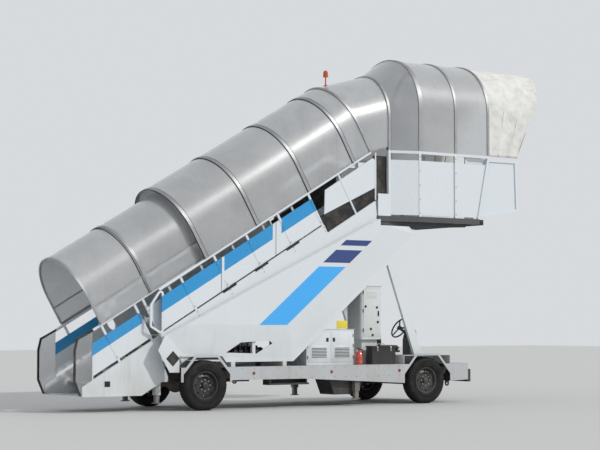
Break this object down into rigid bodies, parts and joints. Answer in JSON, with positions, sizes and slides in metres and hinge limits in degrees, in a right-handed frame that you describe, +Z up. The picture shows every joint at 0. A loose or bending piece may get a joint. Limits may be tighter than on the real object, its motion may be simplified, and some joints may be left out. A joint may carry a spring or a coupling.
{
  "type": "mobile aircraft stairs",
  "caption": "Self-propelled passenger stairs: truck chassis, covered lower flight, and a covered upper flight with platform and hood that slides up the slope.",
  "frame": {"origin": "on the ground below the middle of the machine's length and width", "axes": "+X forwards, towards the aircraft; +Y to the machine's left; +Z up"},
  "size_m": [10.2, 2.12, 6.3998],
  "materials": {
    "frame_paint": "satin",
    "deck_plate": "satin",
    "white_paint": "gloss",
    "axle_black": "satin",
    "engine_iron": "matt",
    "cabinet_paint": "gloss",
    "seat_vinyl": "matt",
    "desk_plastic": "satin",
    "black_plastic": "satin",
    "tank_paint": "satin",
    "red_paint": "gloss",
    "black_paint": "satin",
    "tread_metal": "satin",
    "guard_paint": "gloss",
    "black_rubber": "matt",
    "smoked_sheet": "gloss",
    "clear_sheet": "gloss",
    "hoop_metal": "satin",
    "cylinder_paint": "gloss",
    "rod_chrome": "polished",
    "hood_fabric": "matt",
    "beacon_amber": "gloss",
    "side_guard_paint": "gloss",
    "tyre": "matt",
    "rim_paint": "satin",
    "jack_steel": "satin"
  },
  "bodies": {
    "chassis": {"chassis_frame": "axle_black", "deck": "deck_plate", "skirt_right": "white_paint", "skirt_left": "white_paint", "front_axle": "axle_black", "rear_axle": "axle_black", "leaf_springs": "axle_black", "engine_block": "engine_iron", "engine_housing": "white_paint", "control_cabinet": "cabinet_paint", "driver_seat": "seat_vinyl", "driver_desk": "desk_plastic", "steering_wheel": "black_plastic", "extinguisher": "red_paint", "tank_and_battery": "tank_paint", "running_steps": "black_paint", "front_bumper": "black_paint", "main_frame_right": "white_paint", "main_frame_left": "white_paint", "main_frame_ties": "frame_paint", "struts": "white_paint", "lower_stringers": "white_paint", "lower_treads": "tread_metal", "lower_guards": "guard_paint", "entry_edges": "black_rubber", "lower_canopy": "smoked_sheet", "lower_ribs": "hoop_metal", "lift_barrel": "cylinder_paint", "entry_panes": "smoked_sheet"},
    "upper_flight": {"upper_stringers": "white_paint", "upper_treads": "tread_metal", "upper_guards": "guard_paint", "upper_canopy": "smoked_sheet", "upper_ribs": "hoop_metal", "lift_rod": "rod_chrome", "platform_deck": "tread_metal", "platform_guards": "guard_paint", "hood_shell": "smoked_sheet", "hood_frame": "hoop_metal", "hood_throat": "clear_sheet", "front_hood": "hood_fabric", "gap_covers": "black_rubber", "platform_buffer": "black_rubber", "beacon": "beacon_amber"},
    "side_guard_right": {"side_guard_right": "side_guard_paint"},
    "side_guard_left": {"side_guard_left": "side_guard_paint"},
    "knuckle_right": {"knuckle_right": "axle_black"},
    "knuckle_left": {"knuckle_left": "axle_black"},
    "wheel_front_right": {"tyre_front_right": "tyre", "rim_front_right": "rim_paint"},
    "wheel_front_left": {"tyre_front_left": "tyre", "rim_front_left": "rim_paint"},
    "wheel_rear_right": {"tyre_rear_right": "tyre", "rim_rear_right": "rim_paint"},
    "wheel_rear_left": {"tyre_rear_left": "tyre", "rim_rear_left": "rim_paint"},
    "jack_front_right": {"jack_front_right": "jack_steel"},
    "jack_front_left": {"jack_front_left": "jack_steel"},
    "jack_rear_right": {"jack_rear_right": "jack_steel"},
    "jack_rear_left": {"jack_rear_left": "jack_steel"}
  },
  "joints": [
    {"name": "upper_flight_slide", "type": "slide", "parent": "chassis", "child": "upper_flight", "axis": [0.866, 0, 0.5], "range_m": [0, 2.328]},
    {"name": "side_guard_right_slide", "type": "slide", "parent": "upper_flight", "child": "side_guard_right", "axis": [1, 0, 0], "range_m": [-0.75, 0.1]},
    {"name": "side_guard_left_slide", "type": "slide", "parent": "upper_flight", "child": "side_guard_left", "axis": [1, 0, 0], "range_m": [-0.75, 0.1]},
    {"name": "steer_right", "type": "hinge", "parent": "chassis", "child": "knuckle_right", "pos_m": [2.05, -0.76, 0.42], "axis": [0, 0, 1], "range_deg": [-30, 30]},
    {"name": "steer_left", "type": "hinge", "parent": "chassis", "child": "knuckle_left", "pos_m": [2.05, 0.76, 0.42], "axis": [0, 0, 1], "range_deg": [-30, 30]},
    {"name": "wheel_front_right_spin", "type": "hinge", "parent": "knuckle_right", "child": "wheel_front_right", "pos_m": [2.05, -0.915, 0.42], "axis": [0, 1, 0], "continuous": true},
    {"name": "wheel_front_left_spin", "type": "hinge", "parent": "knuckle_left", "child": "wheel_front_left", "pos_m": [2.05, 0.915, 0.42], "axis": [0, 1, 0], "continuous": true},
    {"name": "wheel_rear_right_spin", "type": "hinge", "parent": "chassis", "child": "wheel_rear_right", "pos_m": [-2.65, -0.915, 0.42], "axis": [0, 1, 0], "continuous": true},
    {"name": "wheel_rear_left_spin", "type": "hinge", "parent": "chassis", "child": "wheel_rear_left", "pos_m": [-2.65, 0.915, 0.42], "axis": [0, 1, 0], "continuous": true},
    {"name": "jack_front_right_slide", "type": "slide", "parent": "chassis", "child": "jack_front_right", "axis": [0, 0, 1], "range_m": [-0.11, 0]},
    {"name": "jack_front_left_slide", "type": "slide", "parent": "chassis", "child": "jack_front_left", "axis": [0, 0, 1], "range_m": [-0.11, 0]},
    {"name": "jack_rear_right_slide", "type": "slide", "parent": "chassis", "child": "jack_rear_right", "axis": [0, 0, 1], "range_m": [-0.11, 0]},
    {"name": "jack_rear_left_slide", "type": "slide", "parent": "chassis", "child": "jack_rear_left", "axis": [0, 0, 1], "range_m": [-0.11, 0]}
  ],
  "couplings": [
    {"joint": "steer_left", "follows": "steer_right", "ratio": 1}
  ]
}
